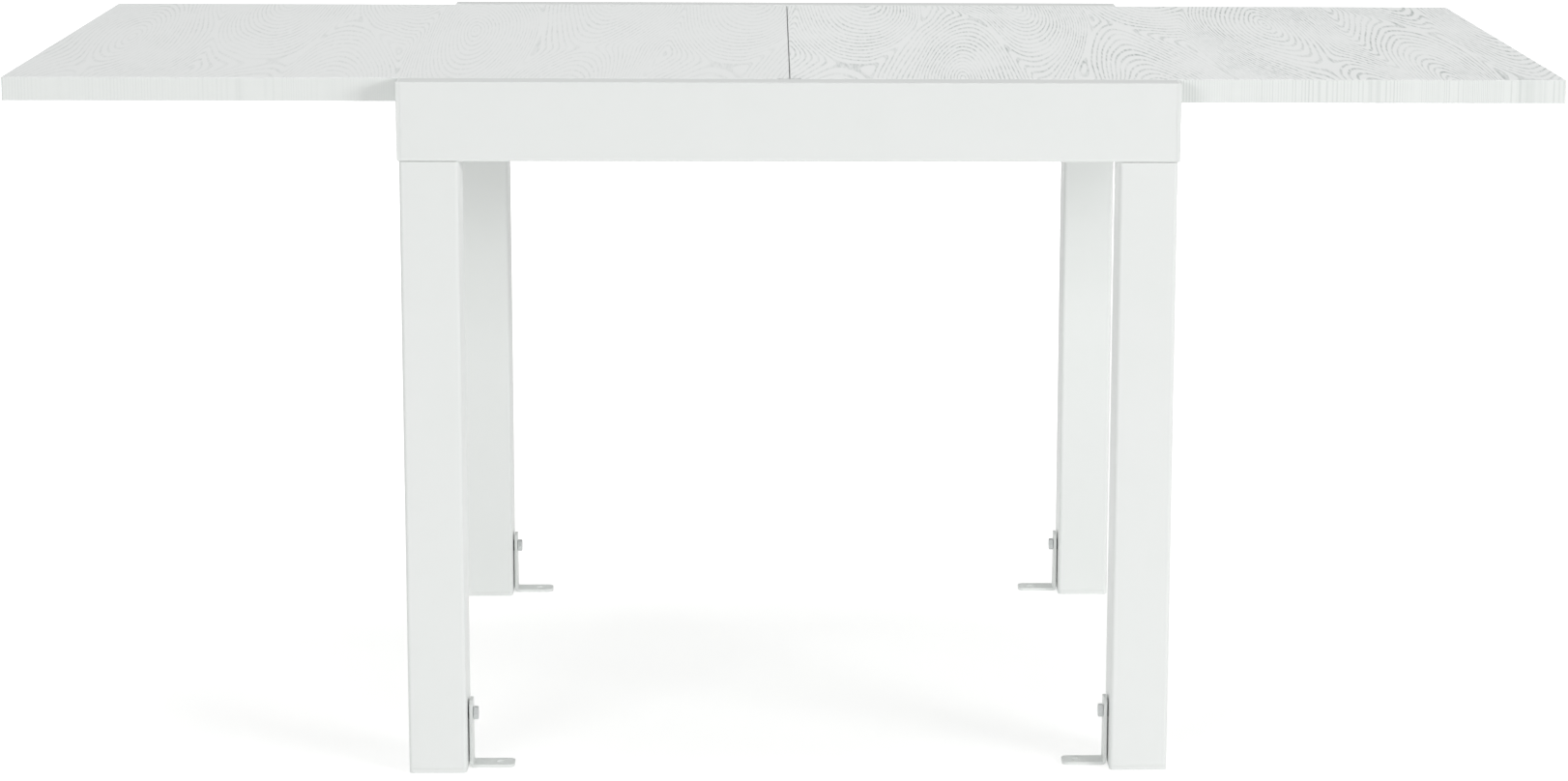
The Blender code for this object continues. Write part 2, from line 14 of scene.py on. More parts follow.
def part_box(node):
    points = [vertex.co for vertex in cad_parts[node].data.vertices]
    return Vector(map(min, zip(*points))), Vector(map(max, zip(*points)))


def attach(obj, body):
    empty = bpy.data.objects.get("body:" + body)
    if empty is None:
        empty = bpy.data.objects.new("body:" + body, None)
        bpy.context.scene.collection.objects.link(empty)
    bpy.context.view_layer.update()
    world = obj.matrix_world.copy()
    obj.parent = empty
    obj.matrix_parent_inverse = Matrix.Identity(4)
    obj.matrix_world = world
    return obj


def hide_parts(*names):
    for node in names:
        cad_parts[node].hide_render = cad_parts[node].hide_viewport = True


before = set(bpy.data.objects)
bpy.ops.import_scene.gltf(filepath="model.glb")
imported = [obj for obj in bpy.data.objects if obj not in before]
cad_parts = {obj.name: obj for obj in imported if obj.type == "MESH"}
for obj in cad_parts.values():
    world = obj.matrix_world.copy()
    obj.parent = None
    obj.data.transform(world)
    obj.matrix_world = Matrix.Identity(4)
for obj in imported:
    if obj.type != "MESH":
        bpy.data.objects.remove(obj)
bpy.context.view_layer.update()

MM = 0.001
QUARTER_TURN = math.pi / 2
FULL_TURN = 2 * math.pi
SIDES = {"front": -1, "rear": 1}
ENDS = {"left": -1, "right": 1}

# Sizes of the table's pieces that the frame's boxes don't give
RAIL_TOP_RADIUS = 1.5 * MM
RAIL_BOTTOM_RADIUS = 4.0 * MM
RAIL_WALL = 2.0 * MM
CAP_PLATE = 4.5 * MM
CAP_EDGE = 0.8 * MM
LEG_RADIUS = 4.0 * MM
LEG_WALL = 2.5 * MM
FOOT_FLANGE = 5.0 * MM
FOOT_EDGE = 0.8 * MM
PLUG_GAP = 0.3 * MM
CROSS_RADIUS = 2.0 * MM
CROSS_WALL = 2.0 * MM
CHANNEL_WALL = 2.0 * MM
RUNNER_FLANGE = 22.0 * MM
RUNNER_WALL = 2.0 * MM
HINGE_PLATE = 2.2 * MM

# How the surfaces are drawn
ARC_STEPS = 8
TURN_POINTS = 72
CUT_EDGE = 0.06 * MM  # the broken edge of a sawn tube
SEATED = 0.22 * MM  # how far a tube runs on into the gap between its solid and its end piece
FINE_RADIUS = 0.3 * MM  # the least radius of a corner
HOLD = 0.15 * MM  # a flat gets its last points this far from an arc, so that it shades flat
WELD_DISTANCE = 0.001 * MM
SHARP_ANGLE = math.radians(35)


def corners(node):
    """A node's lowest and highest corner, as arrays."""
    return tuple(np.array(corner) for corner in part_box(node))


def rounded_outline(outline):
    """A closed outline through (u, v, radius) corners. At each corner an arc that touches both sides, round a
    center on their bisector, and beside it a point on each side that keeps the flat flat."""
    outline = np.array(outline, float)
    here, radius = outline[:, :2], outline[:, 2:]
    back = np.roll(here, 1, axis=0) - here
    ahead = np.roll(here, -1, axis=0) - here
    back /= np.linalg.norm(back, axis=1, keepdims=True)
    ahead /= np.linalg.norm(ahead, axis=1, keepdims=True)
    half = np.arccos((back * ahead).sum(axis=1, keepdims=True)) / 2
    reach = radius / np.tan(half)
    middle = (back + ahead) / np.linalg.norm(back + ahead, axis=1, keepdims=True)
    center = here + middle * radius / np.sin(half)
    first = here + back * reach - center
    last = here + ahead * reach - center
    start = np.arctan2(first[:, 1:], first[:, :1])
    sweep = np.arctan2(last[:, 1:], last[:, :1]) - start
    sweep = (sweep + math.pi) % FULL_TURN - math.pi
    angle = start + sweep * np.linspace(0, 1, ARC_STEPS + 1)
    arcs = center[:, None] + radius[:, None] * np.stack([np.cos(angle), np.sin(angle)], axis=-1)
    before = (here + back * (reach + HOLD))[:, None]
    after = (here + ahead * (reach + HOLD))[:, None]
    return np.concatenate([before, arcs, after], axis=1).reshape(-1, 2)


def rectangle(low, high, inset, lower, upper=None):
    """A rectangle's outline, moved in by an inset, with a radius for its lower corners and for its upper."""
    radii = [max(radius - inset, FINE_RADIUS) for radius in (lower, lower if upper is None else upper)]
    (a, b), (c, d) = low + inset, high - inset
    return rounded_outline([(a, b, radii[0]), (c, b, radii[0]), (c, d, radii[1]), (a, d, radii[1])])


def across(outline, level, along):
    """An outline's points set square across an axis, at a level along it."""
    u, v = outline.T
    flat = np.full_like(u, level)
    return np.stack({"X": (flat, u, v), "Y": (u, flat, v), "Z": (u, v, flat)}[along], axis=1)


def ring_quads(near, far):
    """Quads from each of some rows of points to the row beside it, each row closed on itself."""
    quads = [near, np.roll(near, -1, axis=1), np.roll(far, -1, axis=1), far]
    return np.stack(quads, axis=-1).reshape(-1, 4).tolist()


def loft(rings, joined=False):
    """Points and faces of a skin through rings of equally many points: quads from each ring to the next, and
    a flat face on the first and on the last ring or, joined, quads from the last ring back to the first."""
    points = np.stack(rings)
    index = np.arange(points.shape[0] * points.shape[1]).reshape(points.shape[:2])
    near = index if joined else index[:-1]
    far = np.roll(index, -1, axis=0)[: len(near)]
    faces = ring_quads(near, far)
    if not joined:
        faces += [index[0].tolist(), index[-1].tolist()]
    return points.reshape(-1, 3), faces


def gather(shapes):
    """Several shapes' points and faces as one."""
    starts = np.cumsum([0] + [len(points) for points, faces in shapes])
    moved = []
    for start, (points, faces) in zip(starts, shapes):
        moved += [(np.array(face) + start).tolist() for face in faces]
    return np.concatenate([points for points, faces in shapes]), moved


def piece(name, shape, surface, body, replaced=()):
    """A shape's points and faces as a piece of the table: welded, facing out, and riding on a body."""
    points, faces = shape
    mesh = bpy.data.meshes.new(name)
    mesh.from_pydata(points.tolist(), [], faces)
    shell = bmesh.new()
    shell.from_mesh(mesh)
    bmesh.ops.remove_doubles(shell, verts=shell.verts[:], dist=WELD_DISTANCE)
    bmesh.ops.recalc_face_normals(shell, faces=shell.faces[:])
    shell.to_mesh(mesh)
    shell.free()
    mesh.shade_smooth()
    mesh.set_sharp_from_angle(angle=SHARP_ANGLE)
    mesh.materials.append(surface)
    made = bpy.data.objects.new(name, mesh)
    bpy.context.scene.collection.objects.link(made)
    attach(made, body)
    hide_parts(*replaced)
    return made


def tube(section, start, end, wall, along):
    """A hollow extrusion: a section carried along an axis, its sawn ends broken by a fine chamfer."""
    levels = [
        (CUT_EDGE, start),
        (0.0, start + CUT_EDGE),
        (0.0, end - CUT_EDGE),
        (CUT_EDGE, end),
        (wall, end),
        (wall, start),
    ]
    return loft([across(section(inset), level, along) for inset, level in levels], joined=True)


def plug(section, face, tip, plate, edge, wall, along):
    """A moulded end piece: a plate with a rounded rim, a quarter turn from its face to its side, and behind
    it a spigot that fits in the tube."""
    turn = np.linspace(0, QUARTER_TURN, ARC_STEPS + 1)
    rim = zip(edge * (1 - np.sin(turn)), edge * (1 - np.cos(turn)))
    depth = abs(tip - face)
    levels = [*rim, (0.0, plate), (wall + PLUG_GAP, plate), (wall + PLUG_GAP, depth)]
    way = math.copysign(1.0, tip - face)
    return loft([across(section(inset), face + way * level, along) for inset, level in levels])


def linear(code):
    """An sRGB hex colour as linear red, green, blue and alpha."""
    share = np.array([int(code[i : i + 2], 16) for i in (1, 3, 5)]) / 255
    value = np.where(share <= 0.04045, share / 12.92, ((share + 0.055) / 1.055) ** 2.4)
    return (*value.tolist(), 1.0)


def feed(tree, node, inputs):
    """Gives a node its inputs, by name or in order. A socket is linked, and so is the first output in use of
    a node; any other value is set."""
    for name, value in inputs.items() if isinstance(inputs, dict) else enumerate(inputs):
        if isinstance(value, bpy.types.Node):
            value = next(output for output in value.outputs if output.enabled)
        if isinstance(value, bpy.types.NodeSocket):
            tree.links.new(value, node.inputs[name])
        else:
            node.inputs[name].default_value = value


def add(tree, kind, inputs=(), **settings):
    """One node with its settings and its inputs."""
    made = tree.nodes.new("ShaderNode" + kind)
    for name, value in settings.items():
        setattr(made, name, value)
    feed(tree, made, inputs)
    return made


def finish(name):
    """A new material: itself, its tree, its shader and the place of a point on its piece."""
    made = bpy.data.materials.new(name)
    made.use_nodes = True
    tree = made.node_tree
    return made, tree, tree.nodes["Principled BSDF"], add(tree, "TexCoord").outputs["Object"]


PEEL_SIZE = 2.0 * MM
PEEL_RELIEF = 0.012 * MM
COAT_CLOUD = 60 * MM
COAT_ROUGHNESS = (0.32, 0.42)


def powder_coat(name, light, dark):
    """Polyester powder baked on metal. The eye sees a satin white with a fine orange peel, whose dimples of
    about 2 mm soften every reflection, and hardly any change of tone over the length of a rail."""
    made, tree, shader, place = finish(name)
    peel = add(tree, "TexNoise", {"Vector": place, "Scale": 1 / PEEL_SIZE, "Detail": 2.0})
    cloud = add(tree, "TexNoise", {"Vector": place, "Scale": 1 / COAT_CLOUD, "Detail": 3.0})
    tone = add(tree, "Mix", {0: cloud, 6: linear(dark), 7: linear(light)}, data_type="RGBA")
    rough = add(tree, "MapRange", [peel, 0.0, 1.0, *COAT_ROUGHNESS])
    bump = add(tree, "Bump", {"Height": peel, "Distance": PEEL_RELIEF})
    feed(tree, shader, {"Base Color": tone, "Roughness": rough, "Normal": bump})
    return made


MOULD_GRIT = 0.8 * MM  # coarser than the real grit, so that it shows
MOULD_RELIEF = 0.02 * MM
MOULD_FLOW = 25 * MM
MOULD_ROUGHNESS = (0.48, 0.62)


def moulded_plastic(name, light, dark):
    """Plastic, injected into a mould with an eroded surface. The eye sees a matt skin with a fine, even
    grit."""
    made, tree, shader, place = finish(name)
    grit = add(tree, "TexNoise", {"Vector": place, "Scale": 1 / MOULD_GRIT, "Detail": 3.0})
    flow = add(tree, "TexNoise", {"Vector": place, "Scale": 1 / MOULD_FLOW, "Detail": 1.0})
    tone = add(tree, "Mix", {0: flow, 6: linear(dark), 7: linear(light)}, data_type="RGBA")
    rough = add(tree, "MapRange", [grit, 0.0, 1.0, *MOULD_ROUGHNESS])
    bump = add(tree, "Bump", {"Height": grit, "Distance": MOULD_RELIEF})
    feed(tree, shader, {"Base Color": tone, "Roughness": rough, "Normal": bump})
    return made


LEAF_BOTTOM, LEAF_TOP = (corner[2] for corner in corners("left_leaf_skin"))
RING_WIDTH = 3.7 * MM  # from one growth ring to the next, across the board
HEART_WIDTH = 130 * MM  # from one heart of the grain to the next, across the board
HEART_STRETCH = 10.5  # a ring round a heart is so many times as long as it is wide
HEART_SCATTER = 0.75  # 0 sets the hearts in a grid, 1 leaves them to chance
HEART_BLEND = 0.12  # how far the rings of two hearts round off where they meet
GROOVE_SLOPE = (0.0, 0.95)  # in a wave from ring to ring: where a groove starts, and where it is deepest
GROOVE_RELIEF = 0.12 * MM
# Painted shade: a dark tone painted into the grooves, on top of their bump
GROOVE_PAINTED_SHADE = "#A8B0AD"
EDGE_TONE = "#E9ECEA"
EDGE_FINENESS = 1.7  # the foil on the edges has closer rings
EDGE_DEPTH = 0.5  # and fainter grooves
FACE_ENDS = 0.2 * MM  # this far from a face's plane its foil starts to give way to the edge's
EDGE_STARTS = 1.0 * MM  # and here it has
SEAM_SHADE_FADE = (0.75, 0.95)  # how much of a groove's depth and painted shade is left at the seam, and away from it: painted weaker near the seam, where the light from the right rakes the grooves less
SEAM_REACH = 250 * MM
FOIL_ROUGHNESS = (0.58, 0.70)

# Noise in the grain: its size along X and along Y, its detail, and the least and the most that it gives
WANDER = (300 * MM, 1000 * MM, 0.0, -20 * MM, 20 * MM)  # moves the rings across the board
GROWTH = (120 * MM, 1000 * MM, 0.0, 0.85 * HEART_WIDTH, 1.15 * HEART_WIDTH)  # sets them wider or closer
BEND = (50 * MM, 500 * MM, 1.0, 0.0, 3 * MM)  # bends them
PORES = (3 * MM, 40 * MM, 2.0, 0.05, 1.0)  # breaks the grooves into dashes
PRESS = (60 * MM, 200 * MM, 1.0, 0.2, 1.0)  # makes them deeper or fainter
NOISE_SPAN = (0.3, 0.7)  # nearly all of Blender's noise lies in this range


def grain_foil(name, shift, depth, face_tone_and_painted_light):
    """White foil, embossed with the grain of a flat-sawn board and pressed over a leaf's faces and edges.

    The eye sees fine grooves about 4 mm apart that run from front to rear and close in long loops, one every
    130 mm or so, a little fainter near the seam; on the edges they go straight down. A ring's number is the
    distance to the nearest of many scattered hearts, in a plane that is shortened along Y, blended where two
    hearts are equally near and bent by noise. A groove lies where a ring ends, and the wood's pores break it
    into dashes. A groove is a bump with painted shade, a dark tone painted in it; bump and painted shade are
    weaker near the seam, where the light from the right rakes less, and the face tone can carry painted
    light."""
    made, tree, shader, place = finish(name)
    sheet = add(tree, "VectorMath", [place, (shift, 0, 0)], operation="ADD")

    def noise(size_x, size_y, detail, low, high):
        """Noise of a size along X and along Y, carried to a range."""
        scaled = add(tree, "VectorMath", [sheet, (1 / size_x, 1 / size_y, 0)], operation="MULTIPLY")
        cloud = add(tree, "TexNoise", {"Vector": scaled, "Scale": 1.0, "Detail": detail})
        return add(tree, "MapRange", [cloud, *NOISE_SPAN, low, high])

    x, y, z = add(tree, "SeparateXYZ", [sheet]).outputs
    bent = add(tree, "Math", [x, noise(*WANDER)], operation="ADD")
    shortened = add(tree, "Math", [y, HEART_STRETCH], operation="DIVIDE")
    plane = add(tree, "CombineXYZ", [bent, shortened])
    scatter = {
        "Vector": plane,
        "Scale": 1 / HEART_WIDTH,
        "Smoothness": HEART_BLEND,
        "Randomness": HEART_SCATTER,
    }
    hearts = add(tree, "TexVoronoi", scatter, voronoi_dimensions="2D", feature="SMOOTH_F1")
    radius = add(tree, "Math", [hearts.outputs["Distance"], noise(*GROWTH)], operation="MULTIPLY")
    rings = add(tree, "Math", [radius, noise(*BEND)], operation="ADD")

    half = (LEAF_TOP - LEAF_BOTTOM) / 2
    above = add(tree, "Math", [z, (LEAF_BOTTOM + LEAF_TOP) / 2], operation="SUBTRACT")
    apart = add(tree, "Math", [above], operation="ABSOLUTE")
    face = add(tree, "MapRange", [apart, half - EDGE_STARTS, half - FACE_ENDS])
    closeness = add(tree, "MapRange", [face, 0.0, 1.0, EDGE_FINENESS, 1.0])
    spaced = add(tree, "Math", [rings, closeness], operation="MULTIPLY")
    turns = add(tree, "Math", [spaced, FULL_TURN / RING_WIDTH], operation="MULTIPLY")
    wave = add(tree, "Math", [turns], operation="COSINE")
    line = add(tree, "MapRange", [wave, *GROOVE_SLOPE], interpolation_type="SMOOTHSTEP")
    dashes = add(tree, "Math", [line, noise(*PORES)], operation="MULTIPLY")
    worn = add(tree, "Math", [dashes, noise(*PRESS)], operation="MULTIPLY")
    strength = add(tree, "MapRange", [face, 0.0, 1.0, EDGE_DEPTH * depth, depth])
    pressed = add(tree, "Math", [worn, strength], operation="MULTIPLY")
    # Painted shade that follows the light: the grooves' bump and painted tone fade towards the seam
    from_seam = add(tree, "SeparateXYZ", [place]).outputs[0]
    seam_shade_fade = add(tree, "MapRange", [from_seam, 0.0, SEAM_REACH, *SEAM_SHADE_FADE])
    groove = add(tree, "Math", [pressed, seam_shade_fade], operation="MULTIPLY")

    flat = add(tree, "Mix", {0: face, 6: linear(EDGE_TONE), 7: linear(face_tone_and_painted_light)}, data_type="RGBA")
    # Painted shade: the grooves are painted dark, besides their bump
    tone = add(tree, "Mix", {0: groove, 6: flat, 7: linear(GROOVE_PAINTED_SHADE)}, data_type="RGBA")
    rough = add(tree, "MapRange", [groove, 0.0, 1.0, *FOIL_ROUGHNESS])
    bump = add(tree, "Bump", {"Height": groove, "Distance": GROOVE_RELIEF}, invert=True)
    feed(tree, shader, {"Base Color": tone, "Roughness": rough, "Normal": bump})
    return made


FIBRE_SIZE = 1.5 * MM
FIBRE_RELIEF = 0.02 * MM
BOARD_ROUGHNESS = (0.55, 0.70)


def faced_board(name, light, dark):
    """Fibre board under a white paper face, its milled pockets sealed with white paint. The eye sees an even,
    matt white with a faint print of the fibres."""
    made, tree, shader, place = finish(name)
    fibre = add(tree, "TexNoise", {"Vector": place, "Scale": 1 / FIBRE_SIZE, "Detail": 4.0})
    tone = add(tree, "Mix", {0: fibre, 6: linear(dark), 7: linear(light)}, data_type="RGBA")
    rough = add(tree, "MapRange", [fibre, 0.0, 1.0, *BOARD_ROUGHNESS])
    bump = add(tree, "Bump", {"Height": fibre, "Distance": FIBRE_RELIEF})
    feed(tree, shader, {"Base Color": tone, "Roughness": rough, "Normal": bump})
    return made


# A metal's grain: its size along X, Y and Z, coarser than the real one, so that it shows
PLATED_GRAIN = (1.0 * MM, 1.0 * MM, 1.0 * MM)
DRAWN_GRAIN = (80 * MM, 0.6 * MM, 0.6 * MM)
METAL_RELIEF = 0.006 * MM


def worked_metal(name, light, dark, grain, roughness):
    """Bare or plated metal. Its grain is even for a bath-plated bolt and long along X for a drawn extrusion,
    which the eye sees as faint streaks in its gloss."""
    made, tree, shader, place = finish(name)
    scaled = add(tree, "VectorMath", [place, tuple(1 / size for size in grain)], operation="MULTIPLY")
    streaks = add(tree, "TexNoise", {"Vector": scaled, "Scale": 1.0, "Detail": 3.0})
    tone = add(tree, "Mix", {0: streaks, 6: linear(dark), 7: linear(light)}, data_type="RGBA")
    rough = add(tree, "MapRange", [streaks, 0.0, 1.0, *roughness])
    bump = add(tree, "Bump", {"Height": streaks, "Distance": METAL_RELIEF})
    feed(tree, shader, {"Base Color": tone, "Metallic": 1.0, "Roughness": rough, "Normal": bump})
    return made


FRAME_COAT = powder_coat("white_powder_coat", "#EBEDEC", "#E8EBE9")
BRACKET_COAT = powder_coat("white_coated_steel", "#EAEDEB", "#E6E9E7")
CAP_PLASTIC = moulded_plastic("moulded_white_plastic", "#EAECEB", "#E6E9E7")
WASHER_NYLON = moulded_plastic("moulded_black_nylon", "#2B2C2D", "#242526")
GLIDE_NYLON = moulded_plastic("moulded_grey_nylon", "#B9BBBC", "#AEB0B1")
# Lit and shaded copies of one foil: the right leaf's face tone is painted lighter, as painted light, and its
# grooves get their full painted shade, the left leaf's about half
LEFT_FOIL = grain_foil("embossed_white_foil_left", 137 * MM, 0.48, "#F4F6F5")
RIGHT_FOIL_PAINTED_LIGHTER = grain_foil("embossed_white_foil_right_painted_lighter", 0.0, 1.0, "#F7F9F8")
BOARD = faced_board("fibre_board_white_faced", "#ECEEEC", "#E0E2E0")
ZINC = worked_metal("zinc_plated_steel", "#E6E8E8", "#DADDDD", PLATED_GRAIN, (0.30, 0.42))
MILL_ALUMINIUM = worked_metal("mill_aluminium", "#DCDDDE", "#C9CBCD", DRAWN_GRAIN, (0.30, 0.46))


def make_rail(side):
    """A side rail: a rectangle with a close radius on top and a fuller one below, carried along X, and the
    moulded caps on its ends."""
    low, high = corners(f"{side}_rail")

    def section(inset):
        return rectangle(low[1:], high[1:], inset, RAIL_BOTTOM_RADIUS, RAIL_TOP_RADIUS)

    shape = tube(section, low[0] - SEATED, high[0] + SEATED, RAIL_WALL, "X")
    piece(f"rail_extrusion_{side}", shape, FRAME_COAT, "base", [f"{side}_rail"])
    for end, way in ENDS.items():
        cap_low, cap_high = corners(f"rail_cap_{side}_{end}")
        face, tip = (cap_low[0], cap_high[0])[::-way]
        shape = plug(section, face, tip, CAP_PLATE, CAP_EDGE, RAIL_WALL, "X")
        name = f"rail_end_moulding_{side}_{end}"
        piece(name, shape, CAP_PLASTIC, "base", [f"rail_cap_{side}_{end}"])


def make_leg(place):
    """A leg: a square with round corners, carried along Z, and the moulded foot that plugs it."""
    low, high = corners(f"leg_{place}")

    def section(inset):
        return rectangle(low[:2], high[:2], inset, LEG_RADIUS)

    shape = tube(section, low[2] - SEATED, high[2] + SEATED, LEG_WALL, "Z")
    piece(f"leg_tube_{place}", shape, FRAME_COAT, "base", [f"leg_{place}"])
    cap_low, cap_high = corners(f"foot_cap_{place}")
    shape = plug(section, cap_low[2], cap_high[2], FOOT_FLANGE, FOOT_EDGE, LEG_WALL, "Z")
    piece(f"foot_moulding_{place}", shape, CAP_PLASTIC, "base", [f"foot_cap_{place}"])


BEAD_SIZE = 3.0 * MM
BEAD_RINGS = 60
RIPPLE_LENGTH = 2.2 * MM
RIPPLE_DEPTH = 0.10  # as a share of the bead's size
BEAD_TIP = 0.02  # the lower it is, the finer the bead's ends
BEAD_FULLNESS = 0.3  # the lower it is, the later the bead dies away


def make_cross_rail(end):
    """A cross tube between the rails: a rectangle carried along Y. At each end two weld beads stand in its
    corners: a quarter round whose radius ripples along Z, once for each weld puddle, and dies away at both
    ends."""
    low, high = corners(f"cross_rail_{end}")

    def section(inset):
        return rectangle(low[[0, 2]], high[[0, 2]], inset, CROSS_RADIUS)

    shape = tube(section, low[1], high[1], CROSS_WALL, "Y")
    piece(f"cross_tube_{end}", shape, FRAME_COAT, "base", [f"cross_rail_{end}"])
    height = np.linspace(low[2] + RAIL_BOTTOM_RADIUS, high[2] - CROSS_RADIUS, BEAD_RINGS)
    share = np.linspace(0, 1, BEAD_RINGS)
    ripple = 1 + RIPPLE_DEPTH * np.cos(FULL_TURN * (height - height[0]) / RIPPLE_LENGTH)
    size = BEAD_SIZE * ripple * np.sin(math.pi * share).clip(BEAD_TIP) ** BEAD_FULLNESS
    turn = np.linspace(0, QUARTER_TURN, ARC_STEPS + 1)
    out = np.concatenate([[0.0], np.cos(turn)]) * size[:, None]
    inward = np.concatenate([[0.0], np.sin(turn)]) * size[:, None]
    level = np.broadcast_to(height[:, None], out.shape)
    beads = []
    for x, way in ((low[0], -1), (high[0], 1)):
        for y, sign in ((low[1], 1), (high[1], -1)):
            beads.append(loft(np.stack([x + way * out, y + sign * inward, level], axis=-1)))
    piece(f"weld_beads_{end}", gather(beads), FRAME_COAT, "base")


BAR_THICKNESS = 3.5 * MM
BAR_END_RADIUS = 7.0 * MM
BAR_EDGE = 0.4 * MM
BAR_EDGE_STEPS = 3
BAR_EDGE_ANGLE = math.radians(50)
INSIDE_BEND = 1.5 * MM
HOLE_RADIUS = 4.5 * MM
HOLE_TO_END = 15.5 * MM

# How finely a bracket's flat pattern is drawn
HOLE_RINGS = (0, 0.12, 0.3, 0.6, 1.0)  # where its rings lie, from the hole to the bar's outline
BAR_COLUMNS = 9
FLAT_POINTS = 6  # along a straight part
FOOT_ROWS = 4
BEND_ROWS = 10


def bar_pattern(half, foot, bend, upright):
    """A bracket's flat pattern: points (s, t), along the bar from the foot's tip and across it, and their
    faces. Near the tip, rings blend from the round hole to the bar's outline; the rest is a grid whose half
    width is a circle's arc at the top corners."""
    radius = BAR_END_RADIUS
    seam = HOLE_TO_END + half
    columns = np.linspace(-half, half, BAR_COLUMNS)
    quarter = np.linspace(0, QUARTER_TURN, ARC_STEPS + 1)
    edge = np.linspace(seam, radius, FLAT_POINTS)[:-1]
    end = np.linspace(radius - half, half - radius, FLAT_POINTS)[1:-1]
    outline_s = [
        edge,
        radius * (1 - np.sin(quarter)),
        0 * end,
        radius * (1 - np.cos(quarter)),
        edge[::-1],
        0 * columns[1:-1] + seam,
    ]
    outline_t = [
        0 * edge - half,
        radius - half - radius * np.cos(quarter),
        end,
        half - radius + radius * np.sin(quarter),
        0 * edge + half,
        columns[-2:0:-1],
    ]
    outline = np.stack([np.concatenate(outline_s), np.concatenate(outline_t)], axis=1)
    start = math.atan2(outline[0, 1], outline[0, 0] - HOLE_TO_END)
    angle = start - FULL_TURN * np.arange(len(outline)) / len(outline)
    rim = np.array([HOLE_TO_END, 0.0]) + HOLE_RADIUS * np.stack([np.cos(angle), np.sin(angle)], axis=1)
    share = np.array(HOLE_RINGS)[:, None, None]
    rings = rim * (1 - share) + outline * share

    length = foot + bend * QUARTER_TURN + upright
    straight = np.linspace(seam, foot, FOOT_ROWS)[:-1]
    turning = foot + bend * np.linspace(0, QUARTER_TURN, BEND_ROWS)
    rising = np.linspace(turning[-1], length - radius, FLAT_POINTS)[1:-1]
    rounding = length - radius + radius * np.sin(quarter)
    rows = np.concatenate([straight, turning, rising, rounding])
    width = np.concatenate([0 * rows[: -len(quarter)] + half, half - radius + radius * np.cos(quarter)])
    along = np.broadcast_to(rows[:, None], (len(rows), BAR_COLUMNS))
    grid = np.stack([along, width[:, None] * columns / half], axis=-1)

    ring = np.arange(len(rings) * len(outline)).reshape(len(rings), -1)
    cell = ring.size + np.arange(along.size).reshape(along.shape)
    cells = np.stack([cell[:-1, :-1], cell[:-1, 1:], cell[1:, 1:], cell[1:, :-1]], axis=-1)
    faces = ring_quads(ring[:-1], ring[1:]) + cells.reshape(-1, 4).tolist()
    return np.concatenate([rings.reshape(-1, 2), grid.reshape(-1, 2)]), faces


def make_bracket(place, way):
    """A floor bracket: a flat bar's pattern wrapped round a bend, along the foot, a quarter turn, then up."""
    low, high = corners(f"floor_bracket_{place}")
    back, tip = (low[0], high[0])[::-way]
    reach, half, rise = abs(tip - back), (high[1] - low[1]) / 2, high[2] - low[2]
    middle = (low[1] + high[1]) / 2
    bend = INSIDE_BEND + BAR_THICKNESS / 2
    foot = reach - INSIDE_BEND - BAR_THICKNESS
    upright = rise - INSIDE_BEND - BAR_THICKNESS
    pattern, faces = bar_pattern(half, foot, bend, upright)
    s, t = pattern.T
    turned = np.clip((s - foot) / bend, 0, QUARTER_TURN)
    out = reach - np.minimum(s, foot) - bend * np.sin(turned)
    up = bend * (1 - np.cos(turned)) + np.maximum(s - foot - bend * QUARTER_TURN, 0) + BAR_THICKNESS / 2
    shape = np.stack([back - way * out, middle + t, low[2] + up], axis=1), faces
    name = f"bent_bracket_{place}"
    bar = piece(name, shape, BRACKET_COAT, "base", [f"floor_bracket_{place}"])
    wall = bar.modifiers.new("bar_thickness", "SOLIDIFY")
    wall.thickness = BAR_THICKNESS
    wall.offset = 0.0
    wall.use_even_offset = True
    soft = bar.modifiers.new("rolled_edges", "BEVEL")
    soft.width = BAR_EDGE
    soft.segments = BAR_EDGE_STEPS
    soft.limit_method = "ANGLE"
    soft.angle_limit = BAR_EDGE_ANGLE
    joined = bar.modifiers.new("joined_corners", "WELD")
    joined.merge_threshold = WELD_DISTANCE


BOLT_ACROSS = 13.0 * MM
BOLT_HEAD = 5.5 * MM
BOLT_RADIUS = 4.0 * MM
BOLT_TIP = 0.8 * MM  # the chamfer at its end
CONE_ANGLE = math.radians(30)
CROWN_DROP = 0.05 * MM  # from the middle of its top to where the cone starts
RIM_HEIGHT = 0.4 * MM  # of the rounding under its head

# Radii on a bolt's head, as shares of half its width across the flats
CROWN = 0.80
CONE_START = 0.95
UNDER_RIM = 0.97
SEAT_RIM = 0.95


def make_bolt(place, way):
    """A hex bolt on X. Round the axis its head's radius is a hexagon's, and where the 30 degree cone of its
    top meets the six flats it leaves the curved edges of a turned head."""
    low, high = corners(f"bracket_bolt_{place}")
    tail, top = (low[0], high[0])[::-way]
    middle = (low + high) / 2
    length = abs(top - tail)
    turn = np.linspace(0, FULL_TURN, TURN_POINTS, endpoint=False)
    half = BOLT_ACROSS / 2
    hexagon = half / np.cos(turn % (FULL_TURN / 6) - FULL_TURN / 12)
    rings = [
        (CROWN * half, 0.0),
        (CONE_START * half, CROWN_DROP),
        (hexagon, (hexagon - CONE_START * half) * math.tan(CONE_ANGLE)),
        (hexagon, BOLT_HEAD - RIM_HEIGHT),
        (UNDER_RIM * half, BOLT_HEAD - RIM_HEIGHT / 2),
        (SEAT_RIM * half, BOLT_HEAD),
        (BOLT_RADIUS, BOLT_HEAD),
        (BOLT_RADIUS, length - BOLT_TIP),
        (BOLT_RADIUS - BOLT_TIP, length),
    ]
    radius, depth = (np.stack([value + 0 * turn for value in values]) for values in zip(*rings))
    points = [top + way * depth, middle[1] + radius * np.cos(turn), middle[2] + radius * np.sin(turn)]
    shape = loft(np.stack(points, axis=-1))
    piece(f"hex_bolt_{place}", shape, ZINC, "base", [f"bracket_bolt_{place}"])


SPACER_BORE = 8.6 * MM
SPACER_EDGE = 0.15 * MM


